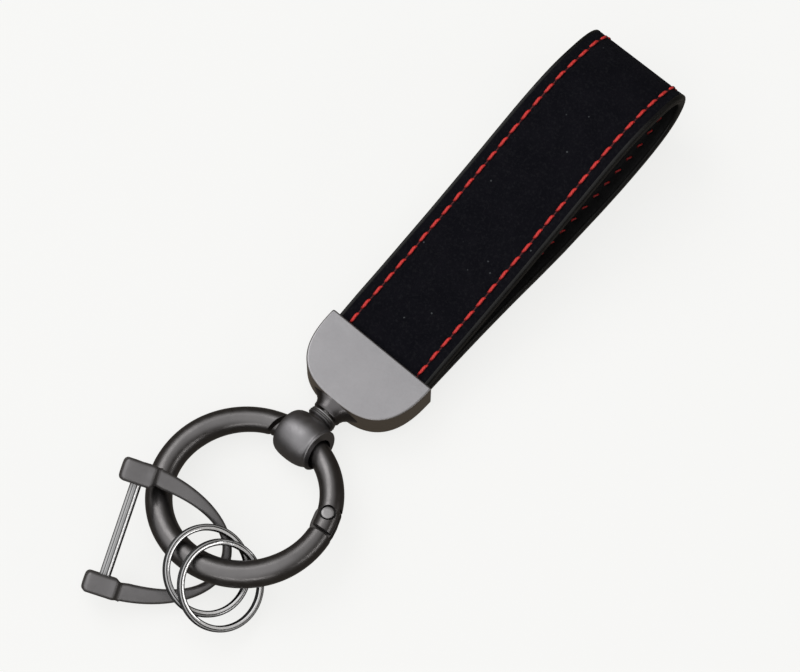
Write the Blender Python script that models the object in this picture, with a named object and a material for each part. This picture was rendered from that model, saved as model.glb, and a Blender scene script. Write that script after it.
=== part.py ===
"""Keyring: a folded suede strap in a cast end cap, a swivel bail, a round spring-gate ring,
a horseshoe shackle with its screwed bar, and two split rings.

The strap runs along +Y from the cap's mouth at y = 0, the swivel's axis lies along Y, and z = 0 is
the surface that the keyring lies on. Lengths are millimetres and angles degrees; put_together()
turns them into metres and moves the origin to the middle of the bounding box's underside.
"""

import math

import bmesh
import bpy
from mathutils import Matrix, Vector

MM = 0.001
GAP = 0.1                     # clearance between pieces that are assembled face to face

# Strap: a suede layer and a lining, sewn together and folded into a loop.
STRAP_WIDTH = 23.2
LAYER = 1.05                  # thickness of each layer
LAYER_GAP = 0.1
STRAP_END_Y = -7.5            # where both ends stop inside the cap
STRAP_END_WIDTH = 19.4        # the ends are trimmed to the cap's round pocket
STRAP_EDGE = 0.3              # chamfer of the painted edge
LEG_UPPER_Z = 6.65            # middle of the strap's thickness in the cap, upper and lower leg
LEG_LOWER_Z = 4.15
FLOOR_LEG_Z = 1.16            # the same where the lower leg lies flat on the surface
FLOOR_LEG = (54.0, 42.0)      # y where that flat stretch begins and ends
# Side view of the loop, (y, z) of the middle of its thickness: out along the upper leg, round the
# tip and down to the surface, then from the surface back into the cap.
UPPER_SHAPE = (
    (0.0, LEG_UPPER_Z), (6.0, 8.0), (12.0, 9.0), (20.0, 10.6), (28.0, 12.3), (40.0, 15.3), (48.0, 17.5),
    (56.0, 19.5), (64.0, 20.4), (71.0, 19.4), (75.2, 17.9), (77.6, 15.7), (78.4, 13.0), (77.9, 10.3),
    (76.6, 7.9), (74.4, 5.8), (71.2, 4.1), (67.0, 2.8), (60.5, 1.65), (FLOOR_LEG[0], FLOOR_LEG_Z),
)
LOWER_SHAPE = (
    (FLOOR_LEG[1], FLOOR_LEG_Z), (35.0, 1.9), (27.0, 3.0), (18.0, 3.8), (9.0, 4.1), (0.0, LEG_LOWER_Z),
)
SEAM_INSET = 2.9             # stitch line to strap edge
CHANNEL_WIDTH, CHANNEL_DEPTH = 1.1, 0.45
THREAD_WIDTH, THREAD_HEIGHT = 0.7, 0.3

# End cap: a D-shaped casting with a pocket for the strap and a collar for the swivel.
CAP_HALF_WIDTH, CAP_DEPTH, CAP_CURVE = 12.85, 14.5, 2.75
CAP_BOTTOM, CAP_TOP = 1.9, 8.9
CAP_WALL = 1.15
CAP_CHAMFER = 0.35
POCKET_DEPTH, POCKET_HEIGHT = 9.6, 4.9
AXIS_Z = 0.5 * (CAP_BOTTOM + CAP_TOP)
COLLAR_RADIUS, COLLAR_END_Y = 3.1, -16.9

# Swivel: a headed post, two washers and the bail that the round ring passes through.
POST_RADIUS, POST_BORE = 1.5, 1.6
HEAD_RADIUS, HEAD_HEIGHT = 2.1, 1.0
RETAINER_RADIUS, RETAINER_HEIGHT = 2.3, 0.5
SPACER_RADIUS, SPACER_TOP_Y, SPACER_END_Y = 3.05, -17.25, -18.1
BAIL_Y, BAIL_DROP = -23.55, 0.15
BAIL_LEFT, BAIL_RIGHT = 4.1, 4.5
BAIL_CROWN, BAIL_RIM = 4.9, 4.3
BAIL_HOLE, BAIL_FLARE = 3.75, 3.9
BAIL_TURN = 14.0
POST_END_Y = BAIL_Y + BAIL_HOLE + 0.2

# Round ring: a body and a gate that share one circle. Angles run counter-clockwise from +X.
RING_CENTRE = (-0.34, -39.8, 6.2)
RING_LEAN, RING_LEAN_HEADING = 7.5, 139.6
RING_RADIUS = 16.75           # centre line
BODY_TUBE, NOSE_TUBE, GATE_TUBE = 2.67, 2.45, 2.42
TAPER_END = 165.0             # the body reaches its full thickness here
SEAM_ANGLE = 10.8             # shoulder on the body beside the gate's hinge
EAR_ANGLE = 11.9              # end of the gate's ears, relieved on the inner side
EAR_RELIEF = 2.3
NOSE_INNER, NOSE_OUTER = 114.5, 103.0     # slanted nose of the body: its inner and outer corner
GATE_END_INNER, GATE_END_OUTER = 112.5, 98.5   # end of the gate, swinging clear of the nose
PIN_ANGLE, PIN_RADIUS, PIN_HOLE = 23.4, 0.65, 0.75
PIN_HEAD_RADIUS, PIN_HEAD_FROM, PIN_HEAD_TO = 1.25, 1.8, 2.4
RECESS_RADIUS, RECESS_FLOOR = 1.55, 1.7
TONGUE_HALF, SLOT_HALF = 1.0, 1.2
TONGUE_TIP, TONGUE_BUMP = 2.6, 3.1
WEB_DISTANCE = 2.9            # pin axis to the end of the gate's slot
PLUNGER_OFFSET = -1.55        # plunger's axis, towards the ring's centre from the pin
PLUNGER_RADIUS, PLUNGER_BORE = 0.4, 0.5
PLUNGER_TIP, PLUNGER_TAIL = 2.75, -0.6
BORE_END = -7.5
SPRING_RADIUS, SPRING_WIRE, SPRING_TURNS = 0.3, 0.08, 7

# Shackle: a horseshoe of changing section. u runs along its bar and v towards its bow.
SHACKLE_CENTRE = (-13.42, -61.16, 8.75)
SHACKLE_LEAN, SHACKLE_LEAN_HEADING, SHACKLE_TURN = 24.6, -25.8, -65.7
BOW_OUTER, BOW_OUTER_DEPTH = 13.5, 22.4
BOW_INNER, BOW_INNER_DEPTH, BOW_INNER_CURVE = 9.7, 20.5, 2.4
LUG_BACK, LUG_FRONT, LUG_STEP = -3.3, 3.0, 4.4
LUG_THICKNESS, ARM_THICKNESS, APEX_THICKNESS = 4.8, 3.2, 2.4
BAR_RADIUS, BAR_HOLE = 1.12, 1.2
BAR_V = 0.3
BAR_HEAD_RADIUS, BAR_HEAD_HEIGHT = 1.7, 1.0
BAR_TIP_U = 11.9

# Split rings: two turns of flat wire each.
SPLIT_RADIUS = 8.3            # middle of the wire
WIRE_WIDTH, WIRE_HEIGHT, TURN_GAP = 1.3, 0.6, 0.08
SPLIT_RINGS = (
    # centre, lean, heading of the lean, turn of the wire's ends
    ((4.68, -56.08, 7.44), 28.3, 10.1, 60.0),
    ((8.58, -56.53, 7.27), 33.2, 7.3, 95.0),
)

COLOURS = {
    # colour, metallic, roughness
    "suede": ((0.008, 0.008, 0.010), 0.0, 0.95),
    "lining": ((0.012, 0.012, 0.013), 0.0, 0.6),
    "thread": ((0.62, 0.03, 0.03), 0.0, 0.6),
    "cap_metal": ((0.30, 0.30, 0.32), 1.0, 0.42),
    "gunmetal": ((0.12, 0.12, 0.125), 1.0, 0.35),
    "black_nickel": ((0.28, 0.28, 0.29), 1.0, 0.12),
    "steel": ((0.55, 0.55, 0.56), 1.0, 0.25),
}


# ---------------------------------------------------------------- small tools

def clear_scene():
    for obj in list(bpy.data.objects):
        bpy.data.objects.remove(obj, do_unlink=True)


def material(name):
    found = bpy.data.materials.get(name)
    if found:
        return found
    colour, metallic, roughness = COLOURS[name]
    made = bpy.data.materials.new(name)
    made.use_nodes = True
    shader = made.node_tree.nodes["Principled BSDF"]
    shader.inputs["Base Color"].default_value = (*colour, 1.0)
    shader.inputs["Metallic"].default_value = metallic
    shader.inputs["Roughness"].default_value = roughness
    made.diffuse_color = (*colour, 1.0)
    return made


def new_object(name, mesh_builder, slot, parent, sharp_angle=35.0):
    """Turn a bmesh in millimetres into a shaded object under its parent empty."""
    bmesh.ops.scale(mesh_builder, vec=(MM, MM, MM), verts=mesh_builder.verts)
    bmesh.ops.recalc_face_normals(mesh_builder, faces=mesh_builder.faces)
    mesh = bpy.data.meshes.new(name)
    mesh_builder.to_mesh(mesh)
    mesh_builder.free()
    mesh.shade_smooth()
    mesh.set_sharp_from_angle(angle=math.radians(sharp_angle))
    mesh.materials.append(material(slot))
    obj = bpy.data.objects.new(name, mesh)
    bpy.context.scene.collection.objects.link(obj)
    obj.parent = parent
    return obj


def new_empty(name, parent, matrix=None):
    empty = bpy.data.objects.new(name, None)
    bpy.context.scene.collection.objects.link(empty)
    empty.parent = parent
    if matrix is not None:
        place = matrix.copy()
        place.translation = place.translation * MM
        empty.matrix_local = place
    return empty


def cut(target, cutter, operation="DIFFERENCE"):
    """Boolean with a helper that stays in the file, hidden and left out of the build."""
    cutter.hide_render = True
    cutter.display_type = "WIRE"
    modifier = target.modifiers.new(cutter.name, "BOOLEAN")
    modifier.operation = operation
    modifier.solver = "EXACT"
    modifier.object = cutter


def leaning_frame(centre, lean, heading, turn=0.0):
    """A frame whose z axis leans by an angle towards a compass heading in the xy plane."""
    axis = Vector((-math.sin(math.radians(heading)), math.cos(math.radians(heading)), 0.0))
    tilt = Matrix.Rotation(math.radians(lean), 4, axis)
    return Matrix.Translation(centre) @ tilt @ Matrix.Rotation(math.radians(turn), 4, "Z")


def sweep(sections, closed=False):
    """Skin a run of equal polygons; an open run gets both its ends capped."""
    made = bmesh.new()
    rows = [[made.verts.new(point) for point in section] for section in sections]
    count = len(rows[0])
    pairs = list(zip(rows, rows[1:])) + ([(rows[-1], rows[0])] if closed else [])
    for near, far in pairs:
        for i in range(count):
            j = (i + 1) % count
            made.faces.new((near[i], near[j], far[j], far[i]))
    if not closed:
        made.faces.new(list(reversed(rows[0])))
        made.faces.new(rows[-1])
    return made


def lathe(profile, axis, origin, segments=24):
    """Turn (distance along axis, radius) pairs; a first or last radius of zero closes to a point."""
    along = Vector(axis).normalized()
    side = along.orthogonal().normalized()
    up = along.cross(side)
    made = bmesh.new()
    rows = []
    for distance, radius in profile:
        middle = Vector(origin) + along * distance
        if radius == 0.0:
            rows.append([made.verts.new(middle)])
            continue
        rows.append([
            made.verts.new(middle + radius * (side * math.cos(a) + up * math.sin(a)))
            for a in (2.0 * math.pi * k / segments for k in range(segments))
        ])
    for near, far in zip(rows, rows[1:]):
        for k in range(segments):
            j = (k + 1) % segments
            if len(near) == 1:
                made.faces.new((near[0], far[j], far[k]))
            elif len(far) == 1:
                made.faces.new((near[k], near[j], far[0]))
            else:
                made.faces.new((near[k], near[j], far[j], far[k]))
    for row in (rows[0], rows[-1]):
        if len(row) > 1:
            made.faces.new(row)
    return made


def turned_ring(profile, axis, origin, segments=24):
    """Turn a closed outline of (distance, radius) pairs that never meets the axis."""
    along = Vector(axis).normalized()
    side = along.orthogonal().normalized()
    up = along.cross(side)
    sections = []
    for k in range(segments):
        a = 2.0 * math.pi * k / segments
        out = side * math.cos(a) + up * math.sin(a)
        sections.append([Vector(origin) + along * d + out * r for d, r in profile])
    return sweep(sections, closed=True)


def prism(outline, low, high, to_world=lambda x, y, z: Vector((x, y, z))):
    """Extrude an outline of (x, y) pairs between two heights."""
    return sweep([[to_world(x, y, low) for x, y in outline], [to_world(x, y, high) for x, y in outline]])


def superellipse(half_width, depth, curve, angle):
    """Point (across, along) on |x/w|^n + |y/d|^n = 1."""
    c, s = math.cos(angle), math.sin(angle)
    across = math.copysign(abs(c) ** (2.0 / curve), c) * half_width
    return across, abs(s) ** (2.0 / curve) * depth


# ---------------------------------------------------------------- strap and its stitching

def smooth_through(knots, per_span):
    """Points on a curve through the knots, with the same number of steps in every span."""
    points = []
    last = len(knots) - 1
    for k in range(last):
        before, a, b, after = knots[max(k - 1, 0)], knots[k], knots[k + 1], knots[min(k + 2, last)]
        for step in range(per_span):
            t = step / per_span
            points.append(tuple(0.5 * (
                2.0 * a[i] + (b[i] - before[i]) * t
                + (2.0 * before[i] - 5.0 * a[i] + 4.0 * b[i] - after[i]) * t * t
                + (3.0 * a[i] - before[i] - 3.0 * b[i] + after[i]) * t ** 3) for i in (0, 1)))
    return points + [knots[last]]


def strap_path():
    """(y, z) along the middle of the strap's thickness, from its upper end round to its lower end."""
    points = [(STRAP_END_Y, LEG_UPPER_Z), (-4.0, LEG_UPPER_Z)]
    points += smooth_through(UPPER_SHAPE, 2)
    points += smooth_through(LOWER_SHAPE, 2)
    return points + [(-4.0, LEG_LOWER_Z), (STRAP_END_Y, LEG_LOWER_Z)]


def path_normals(points):
    """Unit normals on the loop's outer side."""
    normals = []
    for k in range(len(points)):
        before = points[max(k - 1, 0)]
        after = points[min(k + 1, len(points) - 1)]
        dy, dz = after[0] - before[0], after[1] - before[1]
        length = math.hypot(dy, dz)
        normals.append((-dz / length, dy / length))
    return normals


def strap_half_width(y):
    """Full width outside the cap, narrowing towards the trimmed ends inside it."""
    share = min(max(-y / -STRAP_END_Y, 0.0), 1.0)
    return 0.5 * (STRAP_WIDTH + (STRAP_END_WIDTH - STRAP_WIDTH) * share)


def run_along_strap(section_at):
    """Sweep the polygon section_at(half width) of (x, offset) pairs along the strap."""
    points = strap_path()
    sections = []
    for (y, z), (ny, nz) in zip(points, path_normals(points)):
        polygon = section_at(strap_half_width(y))
        sections.append([(x, y + ny * off, z + nz * off) for x, off in polygon])
    return sweep(sections)


def layer_section(face, back, half_width, edge):
    """A layer with two stitch channels in its visible face."""
    inward = math.copysign(1.0, back - face)
    seam = 0.5 * STRAP_WIDTH - SEAM_INSET
    half = 0.5 * CHANNEL_WIDTH
    floor = face + inward * CHANNEL_DEPTH
    right = [
        (half_width, back), (half_width, face + inward * edge), (half_width - edge, face),
        (seam + half, face), (seam + half, floor), (seam - half, floor), (seam - half, face),
    ]
    return right + [(-x, off) for x, off in reversed(right)]


def build_strap(parent):
    outer_face = 0.5 * LAYER_GAP + LAYER
    outer_back = 0.5 * LAYER_GAP
    new_object("strap_outer", run_along_strap(
        lambda half: layer_section(outer_face, outer_back, half, STRAP_EDGE)), "suede", parent)
    new_object("strap_lining", run_along_strap(
        lambda half: layer_section(-outer_face, -outer_back, half, STRAP_EDGE)), "lining", parent)
    seam = 0.5 * STRAP_WIDTH - SEAM_INSET
    for side_name, side in (("left", -1.0), ("right", 1.0)):
        for face_name, face in (("outer", 1.0), ("inner", -1.0)):
            top = face * outer_face
            bottom = face * (outer_face - THREAD_HEIGHT)
            half = 0.5 * THREAD_WIDTH
            new_object(
                f"stitching_{face_name}_{side_name}",
                run_along_strap(lambda _half, s=side, t=top, b=bottom, h=half: [
                    (s * seam - h, b), (s * seam + h, b), (s * seam + h, t), (s * seam - h, t)]),
                "thread", parent)


# ---------------------------------------------------------------- end cap and swivel

def cap_outline(half_width, depth, steps, stop=0.0):
    """The D: straight mouth at y = 0, superellipse behind it. stop cuts it flat at y = -stop."""
    points = []
    for k in range(steps + 1):
        x, y = superellipse(half_width, depth, CAP_CURVE, math.pi * k / steps)
        if not stop or y <= stop:
            points.append((x, -y))
    return points


def build_cap(parent):
    shell = new_object("end_cap", prism(
        cap_outline(CAP_HALF_WIDTH, CAP_DEPTH, 36), CAP_BOTTOM, CAP_TOP), "cap_metal", parent)
    bevel = shell.modifiers.new("edge", "BEVEL")
    bevel.width = CAP_CHAMFER * MM
    bevel.segments = 1
    bevel.limit_method = "ANGLE"
    bevel.angle_limit = math.radians(60.0)
    collar = lathe(
        [(0.0, COLLAR_RADIUS), (2.9, COLLAR_RADIUS), (3.2, COLLAR_RADIUS - 0.25)],
        (0, -1, 0), (0, COLLAR_END_Y + 3.2, AXIS_Z))
    cut(shell, new_object("collar_shape", collar, "cap_metal", parent), "UNION")
    inner_width = CAP_HALF_WIDTH - CAP_WALL
    pocket = cap_outline(inner_width, CAP_DEPTH - CAP_WALL, 36, POCKET_DEPTH)
    right = [p for p in pocket if p[0] > 0]
    left = [p for p in pocket if p[0] < 0]
    edge_x = superellipse_width(inner_width, CAP_DEPTH - CAP_WALL, POCKET_DEPTH)
    outline = [(inner_width, 1.0)] + right + [(edge_x, -POCKET_DEPTH), (-edge_x, -POCKET_DEPTH)]
    outline += left + [(-inner_width, 1.0)]
    half = 0.5 * POCKET_HEIGHT
    cut(shell, new_object("pocket_shape", prism(outline, AXIS_Z - half, AXIS_Z + half), "cap_metal", parent))
    bore = lathe([(0.0, POST_BORE), (12.0, POST_BORE)], (0, -1, 0), (0, -8.0, AXIS_Z))
    cut(shell, new_object("cap_bore_shape", bore, "cap_metal", parent))


def superellipse_width(half_width, depth, at):
    return half_width * (1.0 - (at / depth) ** CAP_CURVE) ** (1.0 / CAP_CURVE)


def build_swivel(parent):
    """Post, washers and bail, all turning about the line x = 0, z = AXIS_Z."""
    axis = (0, -1, 0)
    seat = -(POCKET_DEPTH - GAP)
    head_face = seat + RETAINER_HEIGHT + GAP
    post = lathe([
        (-HEAD_HEIGHT, HEAD_RADIUS - 0.4), (-HEAD_HEIGHT + 0.35, HEAD_RADIUS), (0.0, HEAD_RADIUS),
        (0.0, POST_RADIUS), (head_face - POST_END_Y, POST_RADIUS),
    ], axis, (0, head_face, 0))
    new_object("swivel_post", post, "steel", parent)
    retainer = turned_ring([
        (0.0, POST_BORE), (0.0, RETAINER_RADIUS), (RETAINER_HEIGHT, RETAINER_RADIUS),
        (RETAINER_HEIGHT, POST_BORE),
    ], axis, (0, seat + RETAINER_HEIGHT, 0))
    new_object("post_retaining_washer", retainer, "steel", parent)
    height = SPACER_TOP_Y - SPACER_END_Y
    ridge, groove = SPACER_RADIUS, SPACER_RADIUS - 0.25
    spacer = turned_ring([
        (0.0, POST_BORE), (0.0, ridge - 0.1), (0.12, ridge), (0.3 * height, ridge), (0.5 * height, groove),
        (0.7 * height, ridge), (height - 0.12, ridge), (height, ridge - 0.1), (height, POST_BORE),
    ], axis, (0, SPACER_TOP_Y, 0), 28)
    new_object("swivel_spacer", spacer, "black_nickel", parent)
    build_bail(parent)


def build_bail(parent):
    """A crowned barrel across the post, turned a little on it, with a flared hole and a bore for
    the post."""
    left, right = -BAIL_LEFT, BAIL_RIGHT
    outside = [(left, BAIL_RIM - 0.35), (left + 0.35, BAIL_RIM)]
    for share in (-0.55, -0.3, 0.0, 0.4, 0.7):
        outside.append((share * right, BAIL_RIM + (BAIL_CROWN - BAIL_RIM) * (1.0 - share * share)))
    outside += [(right - 0.35, BAIL_RIM), (right, BAIL_RIM - 0.35)]
    inside = [(right, BAIL_FLARE), (right - 0.7, BAIL_HOLE), (left + 0.7, BAIL_HOLE), (left, BAIL_FLARE)]
    barrel = turned_ring(outside + inside, (1, 0, 0), (0, BAIL_Y, -BAIL_DROP), 28)
    turn = Matrix.Rotation(math.radians(-BAIL_TURN), 3, "Y")
    bmesh.ops.rotate(barrel, cent=(0, BAIL_Y, -BAIL_DROP), matrix=turn, verts=barrel.verts)
    bail = new_object("bail", barrel, "gunmetal", parent)
    bore = lathe([(0.0, POST_BORE), (5.0, POST_BORE)], (0, -1, 0), (0, BAIL_Y + BAIL_CROWN + 1.0, 0))
    cut(bail, new_object("bail_bore_shape", bore, "gunmetal", parent))


# ---------------------------------------------------------------- round ring and its gate

def ring_point(angle, radius, height):
    a = math.radians(angle)
    return Vector((radius * math.cos(a), radius * math.sin(a), height))


def tube(radius_at, first, last, first_slant, last_slant, steps, sides=14):
    """An arc of tube whose thickness follows radius_at(angle). A slant function turns a point's
    offset from the centre line into degrees that its end face moves round the ring."""
    sections = []
    for k in range(steps + 1):
        share = k / steps
        angle = first + (last - first) * share
        radius = radius_at(angle)
        section = []
        for i in range(sides):
            a = 2.0 * math.pi * (i + 0.5) / sides
            offset, height = radius * math.cos(a), radius * math.sin(a)
            shift = first_slant(offset) * (1 - share) ** 6 + last_slant(offset) * share ** 6
            section.append(ring_point(angle + shift, RING_RADIUS + offset, height))
        sections.append(section)
    return sweep(sections)


def at_pin(along, outward, height):
    """Point given from the pin's axis: along the ring (towards the latch), outward and up."""
    a = math.radians(PIN_ANGLE)
    out = Vector((math.cos(a), math.sin(a), 0.0))
    on = Vector((-math.sin(a), math.cos(a), 0.0))
    return out * (RING_RADIUS + outward) + on * along + Vector((0, 0, height))


def tongue_outline():
    """The body's tongue round the pin: slightly proud on the ring's inner side."""
    points = [(-5.5, 1.4), (-3.0, 2.1)]
    for angle in range(-70, 91, 16):
        swell = min(max((angle - 30.0) / 30.0, 0.0), 1.0)
        radius = TONGUE_TIP + (TONGUE_BUMP - TONGUE_TIP) * swell
        a = math.radians(angle)
        points.append((radius * math.cos(a), -radius * math.sin(a)))
    return points + [(-2.2, -TONGUE_BUMP), (-3.8, -2.7), (-5.5, -2.6)]


def latch_slant(inner, outer, tube_radius):
    """Middle of a slanted end and its slant function."""
    slope = (outer - inner) / (2.0 * tube_radius)
    return 0.5 * (inner + outer), lambda offset: slope * offset


def body_radius(angle):
    share = min(max((angle - NOSE_INNER) / (TAPER_END - NOSE_INNER), 0.0), 1.0)
    return NOSE_TUBE + (BODY_TUBE - NOSE_TUBE) * share


def build_ring_body(parent):
    nose_angle, nose_slant = latch_slant(NOSE_INNER, NOSE_OUTER, NOSE_TUBE)
    body = new_object("ring_body", tube(
        body_radius, nose_angle, SEAM_ANGLE + 360.0, nose_slant, lambda offset: 0.0, 46), "gunmetal", parent)
    tongue = prism(tongue_outline(), -TONGUE_HALF, TONGUE_HALF, at_pin)
    cut(body, new_object("tongue_shape", tongue, "gunmetal", parent), "UNION")
    hole = lathe([(-2.0, PIN_HOLE), (2.0, PIN_HOLE)], (0, 0, 1), at_pin(0, 0, 0), 20)
    cut(body, new_object("tongue_hole_shape", hole, "gunmetal", parent))
    along = at_pin(1, 0, 0) - at_pin(0, 0, 0)
    bore = lathe([(BORE_END, PLUNGER_BORE), (4.0, PLUNGER_BORE)], along, at_pin(0, PLUNGER_OFFSET, 0), 12)
    cut(body, new_object("plunger_bore_shape", bore, "gunmetal", parent))


def build_plunger_and_spring(parent):
    """The spring pushes the plunger against the web of the gate, inside of the pin, and shuts it."""
    along = at_pin(1, 0, 0) - at_pin(0, 0, 0)
    start = at_pin(0, PLUNGER_OFFSET, 0)
    plunger = lathe([
        (PLUNGER_TAIL, PLUNGER_RADIUS), (PLUNGER_TIP - 0.3, PLUNGER_RADIUS),
        (PLUNGER_TIP - 0.08, 0.7 * PLUNGER_RADIUS), (PLUNGER_TIP, 0.3 * PLUNGER_RADIUS),
    ], along, start, 12)
    new_object("gate_plunger", plunger, "steel", parent)
    out = at_pin(0, 1, 0) - at_pin(0, 0, 0)
    up = Vector((0, 0, 1))
    first, last = PLUNGER_TAIL - 0.65, BORE_END + 0.3   # room for the plunger's stroke
    steps = 8 * SPRING_TURNS
    sections = []
    for k in range(steps + 1):
        a = 2.0 * math.pi * k / 8
        radial = out * math.cos(a) + up * math.sin(a)
        middle = start + along * (first + (last - first) * k / steps) + radial * SPRING_RADIUS
        sections.append([
            middle + radial * SPRING_WIRE * c + along * SPRING_WIRE * s
            for c, s in ((1, 0), (0, 1), (-1, 0), (0, -1))])
    new_object("gate_spring", sweep(sections), "steel", parent)


def build_gate(parent):
    def ear_slant(offset):
        return EAR_RELIEF * max(-offset, 0.0) / GATE_TUBE

    end_angle, end_slant = latch_slant(GATE_END_INNER, GATE_END_OUTER, GATE_TUBE)
    gate = new_object("gate", tube(
        lambda angle: GATE_TUBE, EAR_ANGLE, end_angle, ear_slant, end_slant, 20), "gunmetal", parent)
    slot = prism([(-8, -6), (WEB_DISTANCE, -6), (WEB_DISTANCE, 6), (-8, 6)], -SLOT_HALF, SLOT_HALF, at_pin)
    cut(gate, new_object("gate_slot_shape", slot, "gunmetal", parent))
    hole = lathe([
        (-4.0, RECESS_RADIUS), (-RECESS_FLOOR, RECESS_RADIUS), (-RECESS_FLOOR, PIN_HOLE),
        (RECESS_FLOOR, PIN_HOLE), (RECESS_FLOOR, RECESS_RADIUS), (4.0, RECESS_RADIUS),
    ], (0, 0, 1), at_pin(0, 0, 0), 20)
    cut(gate, new_object("gate_hole_shape", hole, "gunmetal", parent))


def build_gate_pin(parent):
    ends = [(PIN_HEAD_FROM, PIN_RADIUS), (PIN_HEAD_FROM, PIN_HEAD_RADIUS),
            (PIN_HEAD_TO - 0.15, PIN_HEAD_RADIUS), (PIN_HEAD_TO, PIN_HEAD_RADIUS - 0.2)]
    profile = [(-d, r) for d, r in reversed(ends)] + ends
    new_object("gate_pin", lathe(profile, (0, 0, 1), at_pin(0, 0, 0), 20), "black_nickel", parent)


# ---------------------------------------------------------------- shackle, bar and split rings

def shackle_station(angle):
    """Outer point, inner point and thickness where the bow has turned through an angle."""
    a = math.radians(angle)
    outer = (BOW_OUTER * math.cos(a), BOW_OUTER_DEPTH * math.sin(a))
    inner = superellipse(BOW_INNER, BOW_INNER_DEPTH, BOW_INNER_CURVE, a)
    thickness = ARM_THICKNESS + (APEX_THICKNESS - ARM_THICKNESS) * math.sin(a)
    return outer, inner, thickness


def rounded_bar_section(outer, inner, thickness, corner):
    """Rectangle with rounded corners between an inner and an outer point of the bow."""
    width = math.hypot(outer[0] - inner[0], outer[1] - inner[1])
    middle = (0.5 * (outer[0] + inner[0]), 0.5 * (outer[1] + inner[1]))
    across = ((outer[0] - inner[0]) / width, (outer[1] - inner[1]) / width)
    radius = min(corner, 0.42 * width, 0.42 * thickness)
    section = []
    for quadrant, (sx, sz) in enumerate(((1, 1), (-1, 1), (-1, -1), (1, -1))):
        for part in (0.0, 45.0, 90.0):
            a = math.radians(90.0 * quadrant + part)
            off = sx * (0.5 * width - radius) + radius * math.cos(a)
            height = sz * (0.5 * thickness - radius) + radius * math.sin(a)
            section.append((middle[0] + across[0] * off, middle[1] + across[1] * off, height))
    return section


def lug_end(side):
    """Sections of one lug, from its free end to the step down to the arm."""
    sections = []
    for v, inset in ((LUG_BACK, 0.55), (LUG_BACK + 0.2, 0.25), (LUG_BACK + 0.7, 0.0), (LUG_FRONT, 0.0)):
        outer, inner = (side * (BOW_OUTER - inset), v), (side * (BOW_INNER - 0.4 + inset), v)
        sections.append(rounded_bar_section(outer, inner, LUG_THICKNESS - 2 * inset, 0.8))
    return sections


def build_shackle(parent):
    first = math.degrees(math.asin(LUG_STEP / BOW_OUTER_DEPTH))
    steps = 30
    sections = lug_end(1.0)
    for k in range(steps + 1):
        outer, inner, thickness = shackle_station(first + (180.0 - 2.0 * first) * k / steps)
        sections.append(rounded_bar_section(outer, inner, thickness, 0.7))
    sections += list(reversed(mirror_sections(lug_end(1.0))))
    shackle = new_object("shackle", sweep(sections), "gunmetal", parent)
    start = -(BOW_OUTER + 1.0)
    hole = lathe([
        (start, BAR_HEAD_RADIUS + GAP), (-BOW_OUTER + BAR_HEAD_HEIGHT + GAP, BAR_HEAD_RADIUS + GAP),
        (-BOW_OUTER + BAR_HEAD_HEIGHT + GAP, BAR_HOLE), (BAR_TIP_U + GAP, BAR_HOLE),
    ], (1, 0, 0), (0, BAR_V, 0), 20)
    cut(shackle, new_object("bar_hole_shape", hole, "gunmetal", parent))


def mirror_sections(sections):
    """The same sections on the bow's other side, with their points in the sweep's order."""
    return [[(-u, v, w) for u, v, w in section] for section in sections]


def build_bar(parent):
    """Round bar that screws into the far lug, with a slotted head sunk in the near one."""
    bar = lathe([
        (-BOW_OUTER + 0.1, BAR_HEAD_RADIUS - 0.2), (-BOW_OUTER + 0.3, BAR_HEAD_RADIUS),
        (-BOW_OUTER + BAR_HEAD_HEIGHT, BAR_HEAD_RADIUS), (-BOW_OUTER + BAR_HEAD_HEIGHT, BAR_RADIUS),
        (BAR_TIP_U - 0.3, BAR_RADIUS), (BAR_TIP_U, BAR_RADIUS - 0.3),
    ], (1, 0, 0), (0, BAR_V, 0), 20)
    made = new_object("shackle_bar", bar, "black_nickel", parent)
    slot = prism([(-BOW_OUTER - 1, -3), (-BOW_OUTER + 0.55, -3), (-BOW_OUTER + 0.55, 3), (-BOW_OUTER - 1, 3)],
                 -0.25, 0.25)
    cut(made, new_object("screw_slot_shape", slot, "black_nickel", parent))


def build_split_ring(name, parent):
    """Two turns of flat wire; the wire steps up by one turn's height between its two ends."""
    pitch = WIRE_HEIGHT + TURN_GAP
    turn_steps, step_length = 40, 40.0
    start, total = 0.0, 720.0 - 14.0
    steps = int(round(turn_steps * total / 360.0))
    half = 0.5 * WIRE_WIDTH
    sections = []
    for k in range(steps + 1):
        angle = start + total * k / steps
        share = min(max((angle - (0.5 * total - 0.5 * step_length)) / step_length, 0.0), 1.0)
        low = -0.5 * pitch - 0.5 * WIRE_HEIGHT + pitch * share * share * (3.0 - 2.0 * share)
        a = math.radians(angle)
        out = Vector((math.cos(a), math.sin(a), 0.0))
        sections.append([
            out * (SPLIT_RADIUS + off) + Vector((0, 0, low + rise))
            for off, rise in ((-half, 0.0), (half, 0.0), (half, WIRE_HEIGHT), (-half, WIRE_HEIGHT))])
    new_object(name, sweep(sections), "black_nickel", parent)


# ---------------------------------------------------------------- assembly

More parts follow.
